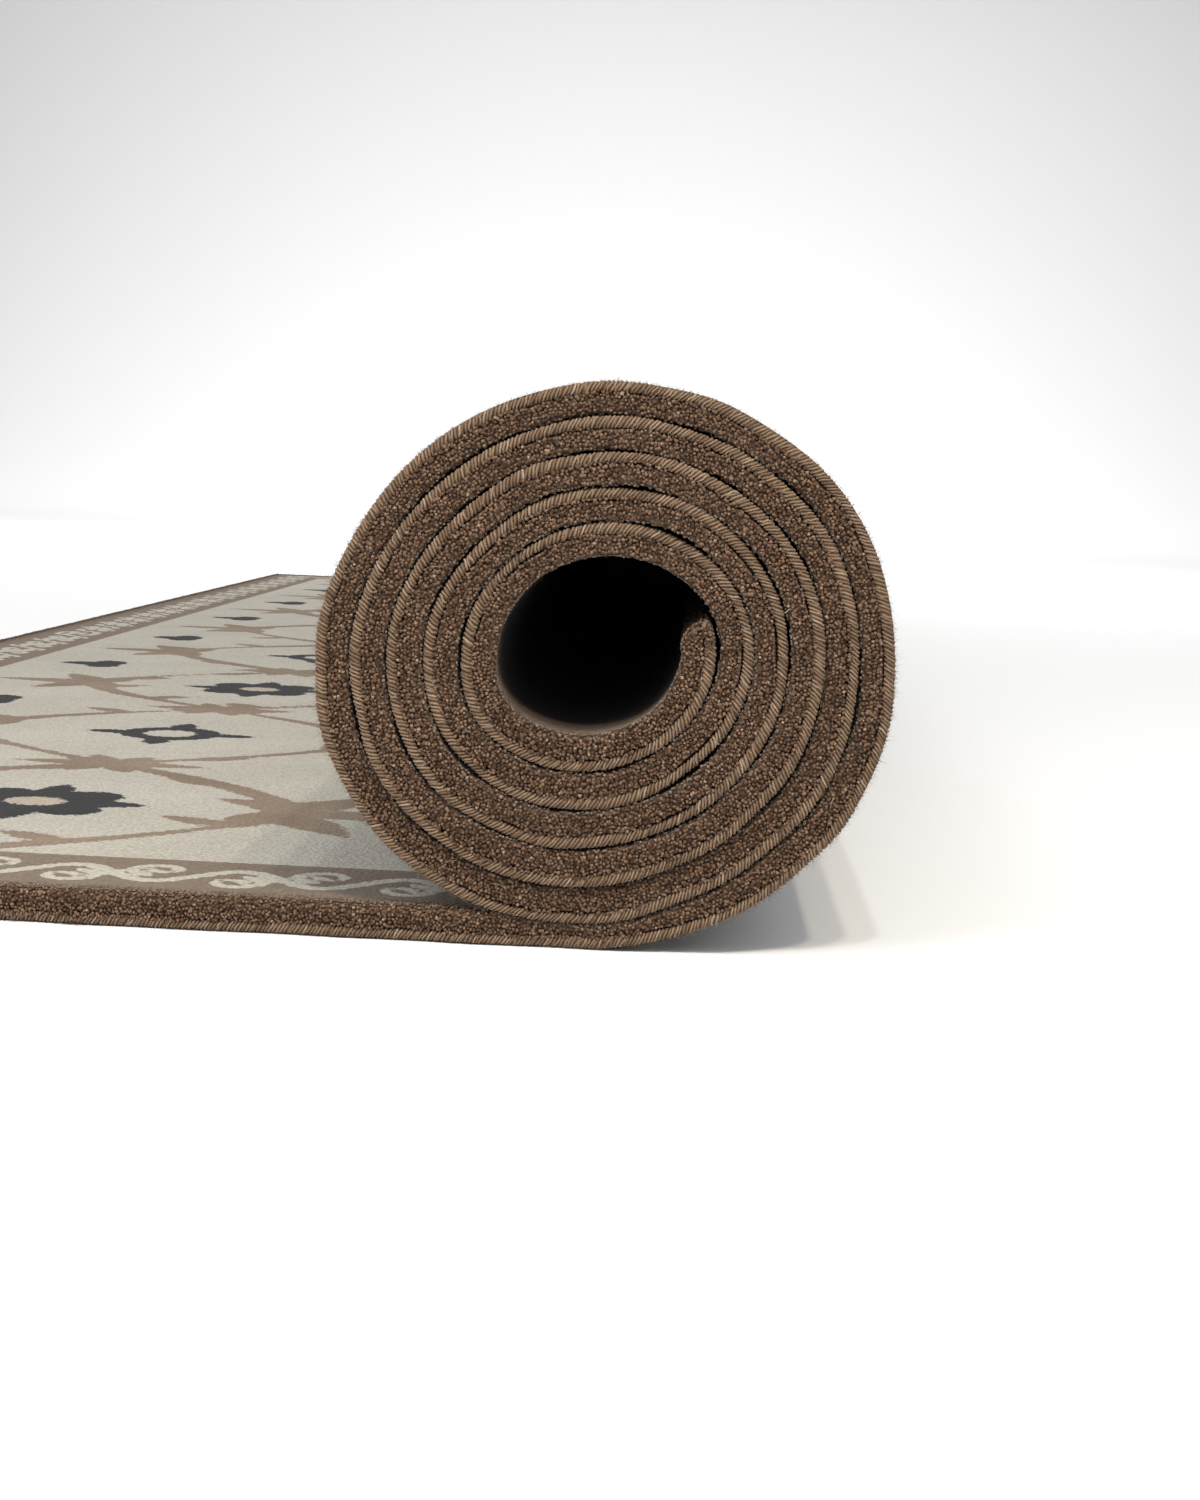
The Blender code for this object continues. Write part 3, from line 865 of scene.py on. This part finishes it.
brown_tufts = tuft_finish()
TUFT_EDGES = (
    # name, edge, start, stop, distance apart, sides, part of the top that has tufts, seed
    ("edge_tufts_near_rolled", "near", 2 * MM, FLAT_FROM, 1.45 * MM, 4, core_or_loose, 11),
    ("edge_tufts_near_loose", "near", FLAT_FROM, LENGTH - 2 * MM, 1.45 * MM, 4, core_or_loose, 15),
    ("edge_tufts_far", "far", 2 * MM, LENGTH - 2 * MM, 2.6 * MM, 3, core_or_loose, 12),
    ("edge_tufts_loose_end", "outer", 2 * MM, WIDTH - 2 * MM, 2.0 * MM, 3, lambda across: 3 * MM, 13),
    ("edge_tufts_core_near", "inner", 2 * MM, 0.12, 1.7 * MM, 4, lambda across: 2 * MM, 14),
    ("edge_tufts_core_far", "inner", WIDTH - 0.12, WIDTH - 2 * MM, 2.4 * MM, 3, lambda across: 2 * MM, 16),
)
tuft_pieces = [tuft_bulbs(*row) for row in TUFT_EDGES]
for obj in tuft_pieces:
    obj.data.materials.append(brown_tufts)
    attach(obj, "root")


# The edges are overcast: a light brown yarn is wound over the cut canvas, strand beside strand, into
# a round bead 4.8 mm thick. The strands lie a little aslant, so each runs 2.7 mm along the edge on
# its way from the pile's side to the back.

BEAD_RADIUS = 2.4 * MM
BEAD_CENTRE = BEAD_RADIUS - YARN_PROUD
STRAND_SLANT = 1.35 * MM
GROOVE_DEPTH = 0.65 * MM
SQUARENESS = 2.7


def overcast_bead(name, edge, start, stop, pitch, columns, around_it, seed):
    """A closed tube whose grid follows the strands: each strand is a ridge of a few columns.

    A point lies along the edge at its strand's place less slant * sin(angle), and at the bead's
    radius less groove depth * (1 - sin(pi * share of the strand)) from its middle, which wanders.
    The bead is a little square: the radius is divided by (|cos|^n + |sin|^n)^(1/n).
    """
    chance = np.random.default_rng(seed)
    strands = int((stop - start) / pitch)
    share = np.tile(np.arange(columns) / columns, strands)
    strand = np.repeat(np.arange(strands), columns)
    angle = np.radians(np.linspace(-180, 180, around_it, endpoint=False) + 12)
    wander = chance.uniform(-0.17, 0.17, strands)[strand] * np.sin(math.pi * share)
    along_it = (start + (strand + share + wander) * pitch)[:, None] - STRAND_SLANT * np.sin(angle)
    along_it = along_it + chance.normal(0, 0.16, (strands, around_it))[strand] * pitch * (share > 0)[:, None]
    groove = 1 - np.sin(math.pi * share)
    slow = np.cumsum(chance.normal(0, 1, strands))
    slow = np.convolve(slow, np.ones(9) / 9, "same") - np.convolve(slow, np.ones(61) / 61, "same")
    slow = np.clip(slow / (slow.std() + 1e-9), -2, 2)[strand] * 0.17 * MM
    height_of_strand = (chance.normal(0, 0.11, (strands, around_it)) * MM)[strand] * (1 - groove)[:, None]
    square = np.abs(np.cos(angle)) ** SQUARENESS + np.abs(np.sin(angle)) ** SQUARENESS
    square = square ** (-1 / SQUARENESS)
    radius = BEAD_RADIUS - GROOVE_DEPTH * groove[:, None] + height_of_strand + slow[:, None]
    from_end = np.minimum(along_it - start, stop - along_it) + 1.0 * MM
    closing = np.sqrt(np.clip(1 - (1 - np.clip(from_end / (2 * MM), 0, 1)) ** 2, 0.05, 1))
    radius = np.minimum(radius * closing, BEAD_RADIUS + 0.1 * MM) * square
    inward = BEAD_CENTRE - radius * np.cos(angle)
    height = np.maximum(BEAD_RADIUS + radius * np.sin(angle) + np.maximum(slow, 0)[:, None], 0.0)
    points = edge_points(edge, np.clip(along_it, start - 1 * MM, stop + 1 * MM), inward, height)
    points[..., 2] = np.maximum(points[..., 2], 0.0)
    rows = strands * columns
    ring = np.arange(around_it)
    faces = grid_faces(rows, around_it, closed=True)
    caps = (ring[::-1], ring + (rows - 1) * around_it)
    if edge in ("far", "inner"):
        faces, caps = faces[:, ::-1], [cap[::-1] for cap in caps]
    obj = mesh_piece(name, points, faces, caps)
    keep(obj, "groove", np.repeat(np.cos(math.pi * share) ** 2, around_it))
    keep(obj, "tint", np.repeat(chance.uniform(0, 1, strands)[strand], around_it))
    return obj


def yarn_finish():
    """Light brown wool yarn with fine plies and fibres, and painted shade in the grooves between strands."""
    material, shader, spot = finish("overcast_wool_yarn", sheen=0.06)
    tint = kept(spot, "tint")
    fibres = spot.noise(1800.0, 2.0)
    colour = tint.blend((0.165, 0.107, 0.068, 1.0), (0.310, 0.213, 0.140, 1.0))
    colour = tint.step(0.95, 0.99).blend(colour, (0.36, 0.27, 0.19, 1.0))
    # Painted shade in the grooves between the strands.
    shade = kept(spot, "groove").step(1.1, 0.0) * (fibres * 0.6 + 0.7)
    shade = shade * (spot.noise(180.0, 1.0) * 0.5 + 0.75)
    paint(shader, shade.blend((0.060, 0.034, 0.020, 1.0), colour), fibres, distance=0.5 * MM, strength=1.0)
    return material


yarn = yarn_finish()
BEADS = (
    # name, edge, start, stop, strand pitch, columns a strand, points around, seed, node
    ("edge_yarn_near", "near", 1 * MM, LENGTH - 1 * MM, 1.5 * MM, 4, 8, 21, "side_binding_near"),
    ("edge_yarn_far", "far", 1 * MM, LENGTH - 1 * MM, 1.7 * MM, 3, 6, 22, "side_binding_far"),
    ("edge_yarn_loose_end", "outer", 0.4 * MM, WIDTH - 0.4 * MM, 1.5 * MM, 3, 6, 23, "end_binding_outer"),
    ("edge_yarn_core_end", "inner", 0.4 * MM, WIDTH - 0.4 * MM, 1.8 * MM, 3, 5, 24, "end_binding_inner"),
)
yarn_pieces = []
for *sizes, node in BEADS:
    obj = overcast_bead(*sizes)
    obj.data.materials.append(yarn)
    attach(obj, "root")
    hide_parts(node)
    yarn_pieces.append(obj)


# The back is a woven cotton cloth, dyed nearly black and glued over the latex of the tufting. It is
# what the roll shows on its outside, a little wavy where the latex is thicker.

BACK_TOP = 1.2 * MM
BACK_INSET = 4.3 * MM
THREAD = 1.2 * MM


def woven_back():
    """Closed sheet: at each reach a ring over the cloth and back under it, with slow waves outside."""
    loose = np.linspace(FLAT_FROM, LENGTH - 4.5 * MM, 30)
    reach = np.concatenate((steps((4.5, 1700, 12), (1700, FLAT_FROM / MM, 6)), loose))
    across = np.linspace(BACK_INSET, WIDTH - BACK_INSET, 50)
    ring = np.concatenate((across, across[::-6]))
    outer = np.arange(len(ring)) < len(across)
    start = np.broadcast_to(reach[:, None], (len(reach), len(ring)))
    rings = np.broadcast_to(ring, start.shape)
    waves = np.sin(37 * rings + 2.2 * np.sin(11 * start)) * np.sin(61 * start + 3 * np.sin(7 * rings))
    low = np.where(start < FLAT_FROM - 20 * MM, (0.16 + 0.14 * waves) * MM, 0.02 * MM)
    heights = np.where(outer, low, BACK_TOP)
    first, last = np.arange(len(ring)), np.arange(len(ring)) + (len(reach) - 1) * len(ring)
    faces = grid_faces(*start.shape, closed=True)[:, ::-1]
    obj = mesh_piece("woven_back", place(start, rings, heights), faces, (first, last[::-1]))
    keep_flat_uv(obj, LENGTH - start, rings)
    return obj


def back_finish():
    """Plain weave of dark cotton: warp and weft threads 1.2 mm apart pass over and under in turn."""
    material, shader, spot = finish("woven_cotton_back", sheen=0.05)
    flat = spot.node("UVMap", {"uv_map": "flat_carpet"}, {})
    parts = [flat.node("SeparateXYZ", {}, {0: flat}, k) for k in (0, 1)]
    turns = [part * (math.pi / THREAD) for part in parts]
    warp, weft = (turn.math("SINE", turn) for turn in turns)
    over = warp * weft * 0.5 + 0.5
    threads = over * warp.math("ABSOLUTE", warp) + (1 - over) * weft.math("ABSOLUTE", weft)
    clouds = spot.noise(9.0, 4.0)
    slubs = flat.stretch(60.0, 900.0, 1.0).noise(1.0, 2.0)
    colour = clouds.step(0.3, 0.7).blend((0.050, 0.043, 0.038, 1.0), (0.078, 0.068, 0.060, 1.0))
    shade = threads * 0.5 + slubs * 0.35 + 0.35
    black = (0.0, 0.0, 0.0, 1.0)
    colour = shade.math("MINIMUM", shade, 1.0).blend(black, colour)
    paint(shader, colour, threads + slubs * 0.4, distance=0.35 * MM, strength=0.9)
    return material


back = woven_back()
back.data.materials.append(back_finish())
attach(back, "root")
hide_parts("backing_cloth")


# Loose fibres stand off the wool everywhere and show against the light along the edges, and a few
# short ends of yarn stick out where a strand was cut.

HAIRS = 6000
HAIR_RADIUS = 0.05 * MM
YARN_ENDS = 30
YARN_END_RADIUS = 0.28 * MM


def bent_hairs(name, roots, directions, bends, radius, rings):
    """Closed three-sided hairs that taper to a tip: root + direction * t + bend * t^2, t from 0 to 1."""
    count = len(roots)
    t = np.linspace(0, 1, rings + 1)[None, :, None]
    line = roots[:, None] + directions[:, None] * t + bends[:, None] * t**2
    side = unit(np.cross(directions, bends + (1e-6, 2e-6, 3e-6)))
    other = unit(np.cross(directions, side))
    turn = np.arange(3) * TURN / 3
    ring = side[:, None, None] * np.cos(turn)[:, None] + other[:, None, None] * np.sin(turn)[:, None]
    taper = (radius * (1 - 0.6 * t))[..., None]
    body = line[:, :-1, None] + ring * taper[:, :-1]
    points = np.concatenate((body.reshape(count, -1, 3), line[:, -1:]), axis=1)
    each = points.shape[1]
    first = np.arange(count)[:, None, None] * each
    quads = grid_faces(rings, 3, closed=True)[None] + first
    corner, last_ring = np.arange(3), 3 * (rings - 1)
    tips = np.stack((corner + last_ring, (corner + 1) % 3 + last_ring, np.full(3, each - 1)), axis=-1)
    caps = (tips + first).reshape(-1, 3).tolist() + (corner[::-1] + first[:, 0]).tolist()
    obj = mesh_piece(name, points, quads.reshape(-1, 4), caps)
    keep(obj, "tint", np.repeat(np.random.default_rng(5).uniform(0, 1, count), each))
    return obj


def fuzz():
    """Hairs over the near and far edges' tufts and yarn, and over the outer turn's near rim."""
    chance = np.random.default_rng(31)
    along_it = chance.uniform(3 * MM, LENGTH - 3 * MM, HAIRS)
    way = chance.uniform(0, 8 * MM, HAIRS)
    on_yarn = chance.random(HAIRS) < 0.35
    inward, height, _, _, _ = edge_section("near", along_it, way)
    angle = chance.uniform(-1.2, 1.2, HAIRS)
    inward = np.where(on_yarn, BEAD_CENTRE - BEAD_RADIUS * np.cos(angle), inward - 0.8 * MM)
    height = np.where(on_yarn, BEAD_RADIUS * (1 + np.sin(angle)), height)
    rim = chance.random(HAIRS) < 0.45
    along_it = np.where(rim, FLAT_FROM - chance.uniform(0, 0.70, HAIRS), along_it)
    inward = np.where(rim, 1.0 * MM + chance.uniform(-1, 1, HAIRS) * MM, inward)
    height = np.where(rim, 0.3 * MM, height)
    far = (np.arange(HAIRS) % 4 == 0) & ~rim
    far_roots = edge_points("far", along_it, inward, height)
    roots = np.where(far[:, None], far_roots, edge_points("near", along_it, inward, height))
    length = chance.uniform(0.8, 3.4, (HAIRS, 1)) * np.where(rim, 0.7, 1.0)[:, None] * MM
    out = chance.normal(0, 1, (HAIRS, 3)) * (0.8, 0.3, 0.8)
    out[:, 1] = np.where(far, 1, -1) * np.abs(out[:, 1] + 0.5)
    outwards = roots - edge_points("near", along_it, inward, height + 1 * MM)
    out = np.where(rim[:, None], out * 0.5 + outwards / MM, out)
    bends = chance.normal(0, 0.5, (HAIRS, 3)) * length
    directions = unit(out) * length
    lowest = roots[:, 2] + np.minimum(directions[:, 2] + bends[:, 2], 0)
    fine = lowest > 0.6 * MM
    return bent_hairs("wool_fuzz", roots[fine], directions[fine], bends[fine], HAIR_RADIUS, 2)


def fuzz_finish():
    """Single wool fibres, light brown."""
    material, shader, spot = finish("loose_wool_fibres", sheen=0.05)
    paint(shader, kept(spot, "tint").blend((0.13, 0.09, 0.06, 1.0), (0.30, 0.23, 0.17, 1.0)))
    return material


def yarn_ends():
    """Curled ends of yarn that lie over the near edge's tufts, 3 to 6 mm long."""
    chance = np.random.default_rng(41)
    along_it = chance.uniform(0.1, LENGTH - 10 * MM, YARN_ENDS)
    inward, height, _, _, _ = edge_section("near", along_it, chance.uniform(0, 7 * MM, YARN_ENDS))
    roots = edge_points("near", along_it, inward - 1.3 * MM, height)
    turn = chance.uniform(0, TURN, YARN_ENDS)
    flat = np.column_stack((np.cos(turn), np.full(YARN_ENDS, -0.25), np.sin(turn)))
    length = chance.uniform(3, 6, (YARN_ENDS, 1)) * MM
    aside = np.column_stack((-flat[:, 2], np.full(YARN_ENDS, 0.1), flat[:, 0]))
    bends = aside * length * chance.uniform(-0.7, 0.7, (YARN_ENDS, 1))
    high = roots[:, 2] > 8 * MM
    return bent_hairs("yarn_ends", roots[high], (flat * length)[high], bends[high], YARN_END_RADIUS, 4)


fibres = fuzz()
cut_ends = yarn_ends()
for obj, material, slot in ((fibres, fuzz_finish(), "wool_pile"), (cut_ends, yarn, "edge_yarn")):
    obj.data.materials.append(material)
    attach(obj, "root")


# The whole carpet is one sheet, cut to its flat size before it was rolled.

other_pieces = [flat_pile, back, fibres, cut_ends] + tuft_pieces + yarn_pieces
